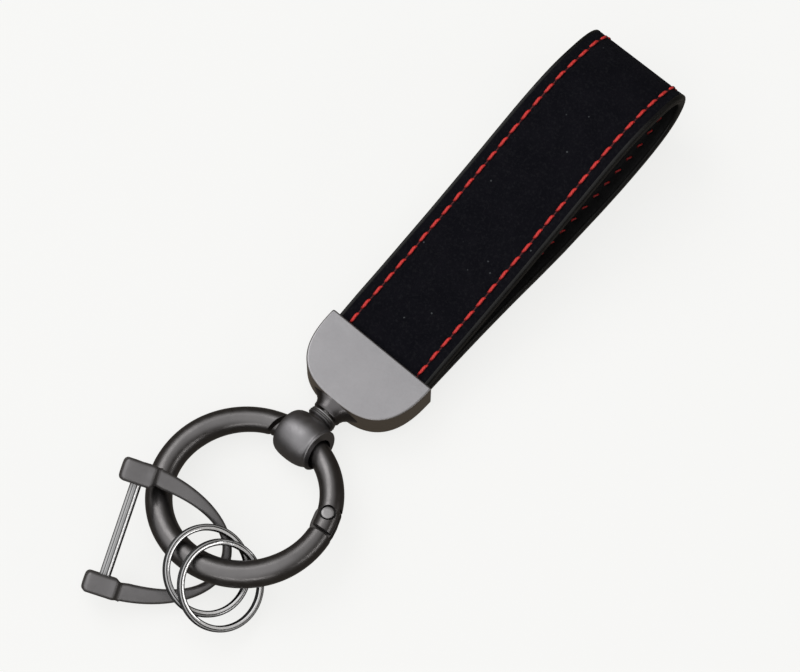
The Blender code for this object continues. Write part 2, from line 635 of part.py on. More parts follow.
def put_together():
    clear_scene()
    keyring = new_empty("keyring", None)
    build_strap(keyring)
    build_cap(keyring)
    swivel_axis = new_empty("swivel_axis", keyring, Matrix.Translation((0, 0, AXIS_Z)))
    build_swivel(swivel_axis)
    ring_frame = leaning_frame(RING_CENTRE, RING_LEAN, RING_LEAN_HEADING)
    ring_axis = new_empty("ring_axis", keyring, ring_frame)
    build_gate(ring_axis)
    build_gate_pin(ring_axis)
    build_ring_body(ring_axis)
    build_plunger_and_spring(ring_axis)
    shackle_frame = leaning_frame(SHACKLE_CENTRE, SHACKLE_LEAN, SHACKLE_LEAN_HEADING, SHACKLE_TURN)
    shackle_axis = new_empty("shackle_axis", keyring, shackle_frame)
    build_shackle(shackle_axis)
    build_bar(shackle_axis)
    for number, (centre, lean, heading, turn) in enumerate(SPLIT_RINGS, start=1):
        axis = new_empty(f"split_ring_{number}_axis", keyring, leaning_frame(centre, lean, heading, turn))
        build_split_ring(f"split_ring_{number}", axis)
    centre_on_underside(keyring)


def centre_on_underside(root):
    """Move everything so that the bounding box's bottom centre is the origin."""
    bpy.context.view_layer.update()
    graph = bpy.context.evaluated_depsgraph_get()
    corners = []
    for obj in bpy.data.objects:
        if obj.type == "MESH" and not obj.hide_render:
            evaluated = obj.evaluated_get(graph)
            corners += [evaluated.matrix_world @ Vector(v.co) for v in evaluated.data.vertices]
    low = [min(c[i] for c in corners) for i in range(3)]
    high = [max(c[i] for c in corners) for i in range(3)]
    root.location = (-0.5 * (low[0] + high[0]), -0.5 * (low[1] + high[1]), -low[2])
    bpy.context.view_layer.update()


put_together()
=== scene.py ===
"""Looks for the strap keyring: suede strap with red stitching, grey end cap, gunmetal ring and
shackle, polished split rings, on a pale studio floor.

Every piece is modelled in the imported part's own frame. Lengths are millimetres until place()
turns them into metres; SHIFT is where the cap's mouth centre lies in that frame.
"""
import math
import random

import bmesh
import bpy
from mathutils import Matrix, Vector


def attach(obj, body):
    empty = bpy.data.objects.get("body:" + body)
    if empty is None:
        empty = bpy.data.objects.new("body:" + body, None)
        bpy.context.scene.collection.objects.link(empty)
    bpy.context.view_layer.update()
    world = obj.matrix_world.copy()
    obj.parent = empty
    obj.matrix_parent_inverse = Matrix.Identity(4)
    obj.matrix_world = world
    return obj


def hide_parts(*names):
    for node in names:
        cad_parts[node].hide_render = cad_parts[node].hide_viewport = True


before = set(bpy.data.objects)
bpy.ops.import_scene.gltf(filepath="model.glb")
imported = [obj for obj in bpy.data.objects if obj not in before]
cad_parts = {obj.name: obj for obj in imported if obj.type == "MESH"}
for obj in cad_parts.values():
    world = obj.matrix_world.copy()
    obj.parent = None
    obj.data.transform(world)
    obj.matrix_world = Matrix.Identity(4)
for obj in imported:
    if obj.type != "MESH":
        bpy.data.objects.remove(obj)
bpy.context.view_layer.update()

MM = 0.001
SHIFT = Vector((1.183, -2.509, -0.06))

# Strap
HALF_WIDTH = 11.6
END_HALF_WIDTH = 9.7
END_Y = -7.5
THICK = 1.1                   # middle of the strap to either face
LEG_UPPER_Z, LEG_LOWER_Z, FLOOR_Z = 6.65, 4.15, 1.16
UPPER_SHAPE = (
    (0.0, LEG_UPPER_Z), (6.0, 8.0), (12.0, 9.0), (20.0, 10.6), (28.0, 12.3), (40.0, 15.3),
    (48.0, 17.5), (56.0, 19.5), (64.0, 20.4), (71.0, 19.4), (75.2, 17.9), (77.6, 15.7),
    (78.4, 13.0), (77.9, 10.3), (76.6, 7.9), (74.4, 5.8), (71.2, 4.1), (67.0, 2.8),
    (60.5, 1.65), (54.0, FLOOR_Z),
)
LOWER_SHAPE = (
    (42.0, FLOOR_Z), (35.0, 1.9), (27.0, 3.0), (18.0, 3.8), (9.0, 4.1), (0.0, LEG_LOWER_Z),
)
SEAM_X = HALF_WIDTH - 2.9
STITCH_PITCH, STITCH_LENGTH, STITCH_RADIUS, STITCH_SLANT = 3.52, 3.15, 0.38, 6.0
STITCH_SINK, STITCH_MARGIN = 0.20, 2.0        # below the face; clear of both strap ends
BOBBIN_LENGTH, BOBBIN_RADIUS = 0.56, 0.68     # inner thread, as shares of the outer one
CORD_HALF_WIDTH, CORD_HALF_HEIGHT = 0.20, 0.12
SEAM_DEPTH, SEAM_SPREAD = 0.17, 0.62
EDGE_ROLL, EDGE_ROLL_DEPTH = 0.55, 0.12
EDGE_BAND, EDGE_PROUD, EDGE_GROOVE = 0.62, 0.035, 0.12

# End cap and swivel
CAP_HALF, CAP_DEPTH, CAP_CURVE = 12.85, 14.5, 2.75
CAP_BOTTOM, CAP_TOP, CAP_WALL = 1.9, 8.9, 1.15
POCKET_DEPTH, POCKET_HALF_HEIGHT = 9.6, 2.45
COLLAR_Y, SPACER_Y, NECK_Y = -13.9, -17.55, -18.62
POST_BORE = 1.62
AXIS_Z = 5.4
BAIL_Y, BAIL_DROP, BAIL_TURN = -23.55, 0.15, 14.0
BAIL_PASSAGE, BAIL_SAG = 2.98, 0.04

# Round ring
RING_CENTRE, RING_LEAN, RING_HEADING = (-0.34, -39.8, 6.2), 7.5, 139.6
RING_R = 16.75
BODY_TUBE, NOSE_TUBE, GATE_TUBE, TAPER_END = 2.67, 2.45, 2.42, 165.0
HINGE_TAPER = 335.0
SEAM_ANGLE, EAR_ANGLE, EAR_RELIEF = 10.6, 12.8, 2.3
NOSE_INNER, NOSE_OUTER = 115.4, 104.0
GATE_END_INNER, GATE_END_OUTER = 112.5, 98.5
PIN_ANGLE = 24.5
TONGUE_ROUNDING, KNUCKLE, KNUCKLE_SWELL, SLOT_END, SLOT_HALF = 2.3, 2.66, 0.12, 2.85, 1.2
PIN_RECESS, PIN_RECESS_FLOOR = 1.62, 1.7

# Shackle and split rings
SHACKLE = ((-13.42, -61.16, 8.75), 24.6, -25.8, -65.7)
BOW_OUTER, BOW_OUTER_DEPTH = 13.5, 22.4
BOW_INNER, BOW_INNER_DEPTH, BOW_INNER_CURVE = 9.7, 20.5, 2.4
LUG_THICK, LUG_END, LUG_ROUNDING = 4.8, -3.3, 0.95
BAR_RADIUS, BAR_V, BAR_TIP, BAR_HEAD = 1.12, 0.3, 11.9, 1.7
BAR_HOLE, BAR_HEAD_SEAT, BAR_HEAD_DEPTH = 1.2, 1.8, 1.1
FLUTES, FLUTE_DEPTH = 9, 0.006
SPLIT_R, WIRE_WIDTH, WIRE_HEIGHT, TURN_GAP = 8.3, 1.3, 0.6, 0.08
COIL_DEGREES, COIL_STEP_DEGREES = 706.0, 40.0
SPLIT_RINGS = (
    ((4.68, -56.08, 7.44), 28.3, 10.1, 60.0),
    ((8.58, -56.53, 7.27), 33.2, 7.3, 133.0),
)

# Painted reflections on the polished pieces, bright and dark lines in the base colour: (share of
# the way round or across, grey level)
WIRE_PAINTED_REFLECTIONS = (
    (0.00, 0.01), (0.18, 0.12), (0.24, 0.14), (0.28, 0.01), (0.365, 0.01), (0.385, 0.42),
    (0.43, 0.48), (0.45, 0.01), (0.482, 0.01), (0.50, 1.0), (0.60, 1.0), (0.62, 0.01),
    (0.78, 0.01), (0.84, 0.16), (0.90, 0.01), (1.00, 0.01))
BAR_PAINTED_REFLECTIONS = (
    (0.00, 0.01), (0.09, 0.02), (0.13, 0.55), (0.28, 0.42), (0.31, 0.03), (0.34, 0.03),
    (0.37, 0.40), (0.46, 0.34), (0.49, 0.02), (0.52, 0.36), (0.60, 0.30), (0.635, 0.02),
    (0.67, 0.04), (0.69, 1.0), (0.84, 1.0), (0.87, 0.01), (1.00, 0.01))
# the painted reflection bands on the bar follow how far its surface faces this way
BAR_SIDEWAYS = (0.751, 0.660, 0.0)

# Light
SKY_CENTRE = (-0.25, -0.32, 1.0)
SKY_EDGE, SKY_CORE = 71.0, 17.0           # degrees from SKY_CENTRE
SKY_LOW, SKY_HIGH = (0.115, 0.103, 0.090), (1.40, 1.40, 1.41)
FLOOR_GLOW = 0.79
BACKDROP_GLOW, BACKDROP_RADIUS = 0.93, 4.0
FLOOR_HALF, FLOOR_DROP = 3.0, 0.00002      # metres

# Camera
ELEVATION, AZIMUTH, DISTANCE = 68.0, 41.3, 0.6
LENS, SENSOR, SHIFT_X, SHIFT_Y = 137.7, 36.0, 0.02175, 0.01525
TARGET_Z = 8.9


# ---------------------------------------------------------------- materials

class Shader:
    """A Principled material and the nodes that feed it."""

    def __init__(self, name, **fixed):
        self.material = bpy.data.materials.new(name)
        self.material.use_nodes = True
        self.tree = self.material.node_tree
        self.shader = self.tree.nodes["Principled BSDF"]
        for socket, value in fixed.items():
            self.shader.inputs[socket.replace("_", " ")].default_value = value
        self.coords = self.node("ShaderNodeTexCoord").outputs["Object"]

    def node(self, kind, **settings):
        made = self.tree.nodes.new(kind)
        for key, value in settings.items():
            if hasattr(made, key):
                setattr(made, key, value)
            else:
                made.inputs[key.replace("_", " ")].default_value = value
        return made

    def link(self, source, target):
        self.tree.links.new(source, target)

    def scaled(self, factors):
        mapping = self.node("ShaderNodeMapping")
        mapping.inputs["Scale"].default_value = factors
        self.link(self.coords, mapping.inputs["Vector"])
        return mapping.outputs["Vector"]

    def noise(self, scale, detail=4.0, rough=0.6, vector=None):
        made = self.node("ShaderNodeTexNoise", Scale=scale, Detail=detail, Roughness=rough)
        self.link(vector or self.coords, made.inputs["Vector"])
        return made.outputs["Fac"]

    def voronoi(self, scale, feature="F1", vector=None):
        made = self.node("ShaderNodeTexVoronoi", feature=feature, Scale=scale)
        self.link(vector or self.coords, made.inputs["Vector"])
        return made.outputs["Distance"]

    def ramp(self, source, low, high, to_low=0.0, to_high=1.0):
        made = self.node("ShaderNodeMapRange", clamp=True)
        limits = {"From Min": low, "From Max": high, "To Min": to_low, "To Max": to_high}
        for key, value in limits.items():
            made.inputs[key].default_value = value
        self.link(source, made.inputs["Value"])
        return made.outputs["Result"]

    def mix(self, factor, first, second):
        made = self.node("ShaderNodeMix", data_type="RGBA")
        for socket, value in ((made.inputs[6], first), (made.inputs[7], second)):
            if isinstance(value, tuple):
                socket.default_value = (*value, 1.0)
            else:
                self.link(value, socket)
        if isinstance(factor, float):
            made.inputs[0].default_value = factor
        else:
            self.link(factor, made.inputs[0])
        return made.outputs[2]

    def bands(self, source, stops):
        """Grey levels along a value, as (position, level) pairs."""
        made = self.node("ShaderNodeValToRGB")
        ramp = made.color_ramp
        while len(ramp.elements) < len(stops):
            ramp.elements.new(0.5)
        for element, (position, level) in zip(ramp.elements, stops):
            element.position = position
            element.color = (level, level, level, 1.0)
        self.link(source, made.inputs["Fac"])
        return made.outputs["Color"]

    def math(self, operation, first, second):
        made = self.node("ShaderNodeMath", operation=operation)
        for socket, value in ((made.inputs[0], first), (made.inputs[1], second)):
            if isinstance(value, float):
                socket.default_value = value
            else:
                self.link(value, socket)
        return made.outputs[0]

    def clouded(self, scale, low, dark, light, detail=4.0):
        """Base colour drifting between two tones in soft patches."""
        patches = self.ramp(self.noise(scale, detail), low, 0.7)
        self.set("Base Color", self.mix(patches, dark, light))

    def normal_z(self):
        """How far the surface faces up, from -1 to 1."""
        geometry = self.node("ShaderNodeNewGeometry")
        split = self.node("ShaderNodeSeparateXYZ")
        self.link(geometry.outputs["Normal"], split.inputs[0])
        return split.outputs["Z"]

    def set(self, socket, source):
        self.link(source, self.shader.inputs[socket])

    def bump(self, *layers):
        """Layers of (height source, distance in metres)."""
        normal = None
        for height, distance in layers:
            made = self.node("ShaderNodeBump", Strength=1.0, Distance=distance)
            self.link(height, made.inputs["Height"])
            if normal:
                self.link(normal, made.inputs["Normal"])
            normal = made.outputs["Normal"]
        self.link(normal, self.shader.inputs["Normal"])
        return self


def suede():
    s = Shader("suede", Roughness=1.0, Specular_IOR_Level=0.05)
    patches = s.noise(260.0, 3.0)
    fibres = s.noise(5200.0, 5.0, 0.75)
    colour = s.mix(s.ramp(patches, 0.35, 0.7), (0.0036, 0.0036, 0.0054), (0.0052, 0.0050, 0.0072))
    nap = s.noise(1700.0, 4.0, 0.7)
    colour = s.mix(s.ramp(nap, 0.50, 0.72, 0.0, 0.8), colour, (0.011, 0.011, 0.013))
    colour = s.mix(s.ramp(fibres, 0.58, 0.80, 0.0, 0.7), colour, (0.010, 0.010, 0.012))
    lint = s.ramp(s.voronoi(420.0), 0.095, 0.050)
    rare = s.ramp(s.noise(330.0, 1.0), 0.56, 0.60)
    colour = s.mix(s.math("MULTIPLY", lint, rare), colour, (0.060, 0.064, 0.068))
    s.set("Base Color", colour)
    return s.bump((fibres, 0.00006), (s.noise(1500.0, 3.0), 0.00004)).material


def lining():
    s = Shader("lining", Specular_IOR_Level=0.16)
    grain = s.voronoi(1500.0, "SMOOTH_F1")
    s.clouded(300.0, 0.3, (0.0025, 0.0025, 0.0027), (0.005, 0.005, 0.0053))
    s.set("Roughness", s.ramp(s.noise(900.0), 0.3, 0.7, 0.42, 0.6))
    return s.bump((grain, 0.00004), (s.noise(4000.0), 0.00001)).material


def edge_paint():
    s = Shader("edge_paint", Specular_IOR_Level=0.16)
    s.clouded(350.0, 0.35, (0.0035, 0.0035, 0.0035), (0.008, 0.0078, 0.0074))
    s.set("Roughness", s.ramp(s.noise(500.0), 0.3, 0.7, 0.22, 0.38))
    return s.bump((s.noise(420.0, 3.0), 0.00006), (s.noise(2500.0), 0.00001)).material


def thread(name, dark, light):
    s = Shader(name, Specular_IOR_Level=0.25, Roughness=0.45)
    twist = s.node("ShaderNodeTexWave", bands_direction="DIAGONAL", Scale=900.0, Distortion=1.0)
    s.link(s.coords, twist.inputs["Vector"])
    # painted shading: thread facing up gets the lit colour, thread turning away gets the dark
    # colour as painted shade
    painted_shading = s.ramp(s.normal_z(), 0.45, 0.97)
    core = s.mix(twist.outputs["Fac"], tuple(0.72 * c for c in light), light)
    s.set("Base Color", s.mix(painted_shading, dark, core))
    return s.bump((twist.outputs["Fac"], 0.00005), (s.noise(3500.0), 0.00002)).material


def cap_metal():
    s = Shader("cap_metal", Metallic=1.0)
    # painted shading: faces turned away from up get a warm brownish base, upward faces the grey one
    up = s.ramp(s.normal_z(), 0.15, 0.9)
    cloud = s.ramp(s.noise(140.0, 2.0), 0.3, 0.7)
    top = s.mix(cloud, (0.270, 0.265, 0.272), (0.290, 0.284, 0.291))
    s.set("Base Color", s.mix(up, (0.36, 0.32, 0.27), top))
    s.set("Roughness", s.ramp(s.noise(2200.0, 3.0), 0.3, 0.7, 0.36, 0.46))
    return s.bump((s.noise(3200.0, 3.0), 0.000006), (s.noise(240.0, 2.0), 0.00001)).material


def gunmetal(name, dark, light, rough=(0.27, 0.37)):
    s = Shader(name, Metallic=1.0)
    s.clouded(110.0, 0.3, dark, light, 3.0)
    s.set("Roughness", s.ramp(s.noise(900.0, 3.0), 0.3, 0.7, *rough))
    return s.bump((s.noise(2600.0, 3.0), 0.000008), (s.noise(180.0, 2.0), 0.00002)).material


def nickel_with_painted_reflections(name, source_of, stops, metallic):
    """Polished wire or bar with its reflections painted into the base colour as bright and dark
    lines along it.
    """
    s = Shader(name, Metallic=metallic)
    s.set("Base Color", s.bands(source_of(s), stops))
    s.set("Roughness", s.ramp(s.noise(1500.0), 0.3, 0.7, 0.10, 0.18))
    return s.bump((s.noise(500.0, 2.0), 0.00001)).material


def around_wire(s):
    return s.node("ShaderNodeAttribute", attribute_name="around").outputs["Fac"]


def across_bar(s):
    """Where the surface faces between the two long sides of the bar, from 0 to 1."""
    geometry = s.node("ShaderNodeNewGeometry")
    dot = s.node("ShaderNodeVectorMath", operation="DOT_PRODUCT")
    s.link(geometry.outputs["Normal"], dot.inputs[0])
    dot.inputs[1].default_value = BAR_SIDEWAYS
    return s.ramp(dot.outputs["Value"], -1.0, 1.0)


def bare_steel():
    s = Shader("bare_steel", Metallic=1.0)
    lines = s.noise(2500.0, 2.0, vector=s.scaled((1.0, 0.05, 1.0)))
    s.set("Base Color", s.mix(s.ramp(lines, 0.3, 0.7), (0.40, 0.39, 0.38), (0.56, 0.55, 0.54)))
    s.set("Roughness", s.ramp(lines, 0.3, 0.7, 0.2, 0.34))
    return s.bump((lines, 0.00001)).material


def painted_recess_shadow():
    # painted shadow: near-black dull metal for the shade at the floor of the pin recess
    s = Shader("painted_recess_shadow", Metallic=1.0)
    s.clouded(400.0, 0.3, (0.02, 0.02, 0.02), (0.035, 0.034, 0.033))
    s.set("Roughness", s.ramp(s.noise(900.0), 0.3, 0.7, 0.5, 0.7))
    return s.bump((s.noise(1200.0), 0.00002)).material


MATERIALS = {
    "suede": suede(), "lining": lining(), "edge": edge_paint(), "cap": cap_metal(),
    "gunmetal": gunmetal("gunmetal", (0.125, 0.120, 0.119), (0.152, 0.146, 0.145)),
    "bail": gunmetal("bail_metal", (0.19, 0.185, 0.19), (0.225, 0.22, 0.224), (0.38, 0.46)),
    "shackle": gunmetal(
        "shackle_metal", (0.170, 0.165, 0.166), (0.200, 0.194, 0.195), (0.46, 0.56)),
    "thread": thread("thread", (0.070, 0.002, 0.003), (0.70, 0.040, 0.034)),
    # inner thread: the same red thread, painted darker as shade inside the loop
    "bobbin": thread("bobbin_thread_painted_shade", (0.050, 0.0015, 0.002), (0.34, 0.012, 0.012)),
    # the hinge tongue is the ring's own gunmetal, painted much darker as shade inside the gate's
    # slot
    "tongue": gunmetal("tongue_metal_painted_shade", (0.05, 0.047, 0.045), (0.07, 0.066, 0.063)),
    # the thread between stitches, the same red thread painted very dark as shade in the seam
    # channel
    "seam": thread("seam_thread_painted_shade", (0.030, 0.001, 0.0015), (0.075, 0.002, 0.003)),
    "pin": gunmetal("pin_metal", (0.215, 0.21, 0.21), (0.25, 0.245, 0.245), (0.32, 0.45)),
    "wire": nickel_with_painted_reflections("wire_nickel_painted_reflections", around_wire, WIRE_PAINTED_REFLECTIONS, 0.55),
    "bar": nickel_with_painted_reflections("bar_nickel_painted_reflections", across_bar, BAR_PAINTED_REFLECTIONS, 0.25),
    # the collar is the cap's metal, painted darker for shade and the dark surroundings it reflects
    "collar": gunmetal("collar_metal_painted_shade", (0.085, 0.081, 0.082), (0.11, 0.105, 0.106), (0.24, 0.32)),
    "steel": bare_steel(), "recess": painted_recess_shadow(),
}


# ---------------------------------------------------------------- mesh tools

def place(name, made, look, body, replaced=(), to_world=None, sharp=40.0, modifiers=()):
    """Finish a bmesh in millimetres: move it into the part's frame, shade it and let it ride."""
    matrix = Matrix.Translation(SHIFT) @ (to_world or Matrix.Identity(4))
    bmesh.ops.transform(made, matrix=Matrix.Scale(MM, 4) @ matrix, verts=made.verts)
    bmesh.ops.recalc_face_normals(made, faces=made.faces)
    mesh = bpy.data.meshes.new(name)
    made.to_mesh(mesh)
    made.free()
    mesh.shade_smooth()
    mesh.set_sharp_from_angle(angle=math.radians(sharp))
    mesh.materials.append(MATERIALS[look])
    obj = bpy.data.objects.new(name, mesh)
    bpy.context.scene.collection.objects.link(obj)
    for kind, settings in modifiers:
        modifier = obj.modifiers.new(kind.lower(), kind)
        for key, value in settings.items():
            setattr(modifier, key, value)
    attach(obj, body)
    if replaced:
        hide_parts(*replaced)
    return obj


def bevelled(width, segments=3, angle=35.0):
    return ("BEVEL", {
        "width": width * MM, "segments": segments, "limit_method": "ANGLE",
        "angle_limit": math.radians(angle), "harden_normals": False})


def cut(target, cutter, operation="DIFFERENCE"):
    """Apply a Boolean between two bmeshes in millimetres and return the result."""
    objects = []
    for made in (target, cutter):
        bmesh.ops.recalc_face_normals(made, faces=made.faces)
        mesh = bpy.data.meshes.new("work")
        made.to_mesh(mesh)
        made.free()
        obj = bpy.data.objects.new("work", mesh)
        bpy.context.scene.collection.objects.link(obj)
        objects.append(obj)
    modifier = objects[0].modifiers.new("cut", "BOOLEAN")
    modifier.operation = operation
    modifier.solver = "EXACT"
    modifier.object = objects[1]
    bpy.context.view_layer.update()
    evaluated = objects[0].evaluated_get(bpy.context.evaluated_depsgraph_get())
    result = bmesh.new()
    result.from_mesh(evaluated.to_mesh())
    for obj in objects:
        bpy.data.objects.remove(obj)
    return result


def leaning(centre, lean, heading, turn=0.0):
    """Matrix for a flat piece at centre, leaning by lean degrees towards heading."""
    axis = Vector((-math.sin(math.radians(heading)), math.cos(math.radians(heading)), 0.0))
    tilt = Matrix.Rotation(math.radians(lean), 4, axis)
    return Matrix.Translation(centre) @ tilt @ Matrix.Rotation(math.radians(turn), 4, "Z")


def sweep(sections, closed=False):
    """Skin a row of equal outlines; the ends are capped unless the row closes on itself."""
    made = bmesh.new()
    rows = [[made.verts.new(point) for point in section] for section in sections]
    count = len(rows[0])
    pairs = list(zip(rows, rows[1:])) + ([(rows[-1], rows[0])] if closed else [])
    for near, far in pairs:
        for i in range(count):
            j = (i + 1) % count
            made.faces.new((near[i], near[j], far[j], far[i]))
    if not closed:
        made.faces.new(list(reversed(rows[0])))
        made.faces.new(rows[-1])
    return made


def turned(profile, axis, origin, segments=64, closed=False):
    """Turn (distance, radius) pairs; closed makes a ring, otherwise both ends are capped."""
    along = Vector(axis).normalized()
    side = along.orthogonal().normalized()
    up = along.cross(side)
    sections = []
    for k in range(segments):
        a = 2.0 * math.pi * k / segments
        out = side * math.cos(a) + up * math.sin(a)
        sections.append([Vector(origin) + along * d + out * r for d, r in profile])
    if closed:
        return sweep(sections, closed=True)
    made = sweep([list(row) for row in zip(*sections)])
    return made


def smooth_through(knots, per_span):
    """A Catmull-Rom curve through knots."""
    points = []
    last = len(knots) - 1
    for k in range(last):
        before, a, b, after = knots[max(k - 1, 0)], knots[k], knots[k + 1], knots[min(k + 2, last)]
        for step in range(per_span):
            t = step / per_span
            points.append(tuple(0.5 * (
                2.0 * a[i] + (b[i] - before[i]) * t
                + (2.0 * before[i] - 5.0 * a[i] + 4.0 * b[i] - after[i]) * t * t
                + (3.0 * a[i] - before[i] - 3.0 * b[i] + after[i]) * t ** 3) for i in (0, 1)))
    return points + [knots[last]]


def superellipse(half, depth, curve, angle):
    c, s = math.cos(angle), math.sin(angle)
    return math.copysign(abs(c) ** (2.0 / curve), c) * half, abs(s) ** (2.0 / curve) * depth


# ---------------------------------------------------------------- strap

def strap_line(per_span):
    points = [(END_Y, LEG_UPPER_Z), (-4.0, LEG_UPPER_Z), (-1.0, LEG_UPPER_Z)]
    points += smooth_through(UPPER_SHAPE, per_span) + smooth_through(LOWER_SHAPE, per_span)
    return points + [(-1.0, LEG_LOWER_Z), (-4.0, LEG_LOWER_Z), (END_Y, LEG_LOWER_Z)]


def normals_of(points):
    normals = []
    for k in range(len(points)):
        before, after = points[max(k - 1, 0)], points[min(k + 1, len(points) - 1)]
        dy, dz = after[0] - before[0], after[1] - before[1]
        length = math.hypot(dy, dz)
        normals.append((-dz / length, dy / length))
    return normals


def half_width(y):
    share = min(max(-y / -END_Y, 0.0), 1.0)
    return HALF_WIDTH + (END_HALF_WIDTH - HALF_WIDTH) * share


LINE = strap_line(8)
LINE_NORMALS = normals_of(LINE)


def along_strap(section_at):
    """Sweep a section along the strap; section_at gets the half width and the length so far."""
    sections = []
    travelled = 0.0
    previous = LINE[0]
    for (y, z), (ny, nz) in zip(LINE, LINE_NORMALS):
        travelled += math.hypot(y - previous[0], z - previous[1])
        previous = (y, z)
        sections.append([
            (x, y + ny * off, z + nz * off) for x, off in section_at(half_width(y), travelled)])
    return sweep(sections)


def layer_profile(face, back):
    """A layer whose visible face sinks a little along the stitching and rolls off at the edges."""
    sign = math.copysign(1.0, face)

    def section(half, travelled):
        inner = half - 0.30
        top = []
        steps = 44
        for k in range(steps + 1):
            x = inner - 2.0 * inner * k / steps
            groove = sum(math.exp(-((x - seam) / SEAM_SPREAD) ** 2) for seam in (SEAM_X, -SEAM_X))
            rolled = max(0.0, (abs(x) - (inner - EDGE_ROLL)) / EDGE_ROLL)
            top.append((x, face - sign * (SEAM_DEPTH * groove + EDGE_ROLL_DEPTH * rolled ** 2)))
        return [(inner, back)] + top + [(-inner, back)]
    return section


def edge_profile(side):
    """Painted edge: a rounded band over both layers with a faint groove where they meet."""
    def section(half, travelled):
        wave = 0.035 * math.sin(travelled * 0.9 + side) + 0.02 * math.sin(travelled * 2.3)
        points = []
        for k in range(25):
            a = math.radians(-102.0 + 204.0 * k / 24)
            off = (THICK + EDGE_PROUD) * math.sin(a)
            out = math.copysign(abs(math.cos(a)) ** 0.6, math.cos(a))
            groove = EDGE_GROOVE * math.exp(-((off - 0.05 - wave) / 0.14) ** 2)
            points.append((side * (half - EDGE_BAND + EDGE_BAND * out - groove), off))
        return points + [(side * (half - 1.0), 0.55 * THICK), (side * (half - 1.0), -0.55 * THICK)]
    return section


def build_strap():
    place("suede_layer", along_strap(layer_profile(THICK, 0.05)), "suede", "strap_and_cap",
          ("strap_outer",), sharp=60.0)
    place("lining_layer", along_strap(layer_profile(-THICK, -0.05)), "lining", "strap_and_cap",
          ("strap_lining",), sharp=60.0)
    for name, side in (("left", -1.0), ("right", 1.0)):
        place(f"painted_edge_{name}", along_strap(edge_profile(side)), "edge", "strap_and_cap",
              sharp=75.0)


def cord_profile(side, face):
    """The thread where it dips between two stitches: a thin line in the channel, coloured very dark
    as painted shade.
    """
    level = face * (THICK - STITCH_SINK)

    def section(half, travelled):
        turns = (2.0 * math.pi * k / 8 for k in range(8))
        return [(side * SEAM_X + CORD_HALF_WIDTH * math.cos(a),
                 level + face * CORD_HALF_HEIGHT * math.sin(a)) for a in turns]
    return section


def at_length(target):
    """Point and direction on the strap's middle line, a distance from its upper end."""
    travelled = 0.0
    for k in range(1, len(LINE)):
        dy, dz = LINE[k][0] - LINE[k - 1][0], LINE[k][1] - LINE[k - 1][1]
        length = math.hypot(dy, dz)
        if travelled + length >= target:
            t = (target - travelled) / length
            return (LINE[k - 1][0] + dy * t, LINE[k - 1][1] + dz * t), (dy / length, dz / length)
        travelled += length
    return LINE[-1], (0.0, -1.0)


def add_stitch(made, centre, along, out, across, radius, length):
    """One plump thread stitch: a spindle that dips into its holes at both ends."""
    rings, sides = 13, 10
    rows = []
    for i in range(rings):
        t = -1.0 + 2.0 * i / (rings - 1)
        swell = max(1.0 - abs(t) ** 2.4, 0.0) ** 0.6
        girth = radius * (0.28 + 0.72 * swell)
        rise = 0.26 * (1.0 - abs(t) ** 2.6) - 0.34 * abs(t) ** 6
        twist = 0.10 * math.sin(t * 3.1)
        middle = centre + along * (0.5 * length * t) + out * rise + across * twist
        rows.append([
            made.verts.new(middle + girth * (out * 0.82 * math.sin(a) + across * math.cos(a)))
            for a in (2.0 * math.pi * k / sides for k in range(sides))])
    for near, far in zip(rows, rows[1:]):
        for k in range(sides):
            j = (k + 1) % sides
            made.faces.new((near[k], near[j], far[j], far[k]))
    made.faces.new(list(reversed(rows[0])))
    made.faces.new(rows[-1])


def build_stitching():
    rng = random.Random(7)
    total = sum(math.dist(a, b) for a, b in zip(LINE, LINE[1:]))
    sideways = Vector((1.0, 0.0, 0.0))
    for face_name, face in (("outer", 1.0), ("inner", -1.0)):
        outside = face > 0
        girth, reach = (1.0, 1.0) if outside else (BOBBIN_RADIUS, BOBBIN_LENGTH)
        for side_name, side in (("left", -1.0), ("right", 1.0)):
            made = bmesh.new()
            where = 2.2 + (0.5 if side > 0 else 0.0)
            while where < total - STITCH_MARGIN:
                (y, z), (dy, dz) = at_length(where)
                along, out = Vector((0.0, dy, dz)), Vector((0.0, -dz, dy)) * face
                skew = math.radians(STITCH_SLANT + rng.uniform(-1.5, 1.5)) * face
                along = (along * math.cos(skew) + sideways * math.sin(skew)).normalized()
                centre = Vector((side * SEAM_X + rng.uniform(-0.04, 0.04), y, z))
                # stitches on the strap's resting stretch are pressed in, clear of the floor
                lift = min(1.0, max(0.0, (z - 1.2) / 1.0)) if outside else 1.0
                centre += out * (THICK - STITCH_SINK - 0.22 * (1.0 - lift))
                add_stitch(made, centre, along, out, -sideways,
                           STITCH_RADIUS * girth * (0.55 + 0.45 * lift),
                           STITCH_LENGTH * reach + rng.uniform(-0.12, 0.12))
                where += STITCH_PITCH
            if outside:
                place(f"seam_thread_painted_shade_{side_name}", along_strap(cord_profile(side, face)), "seam",
                      "strap_and_cap", sharp=80.0)
            place(f"stitches_{face_name}_{side_name}", made, "thread" if outside else "bobbin",
                  "strap_and_cap", (f"stitching_{face_name}_{side_name}",), sharp=80.0)


# ---------------------------------------------------------------- end cap and swivel

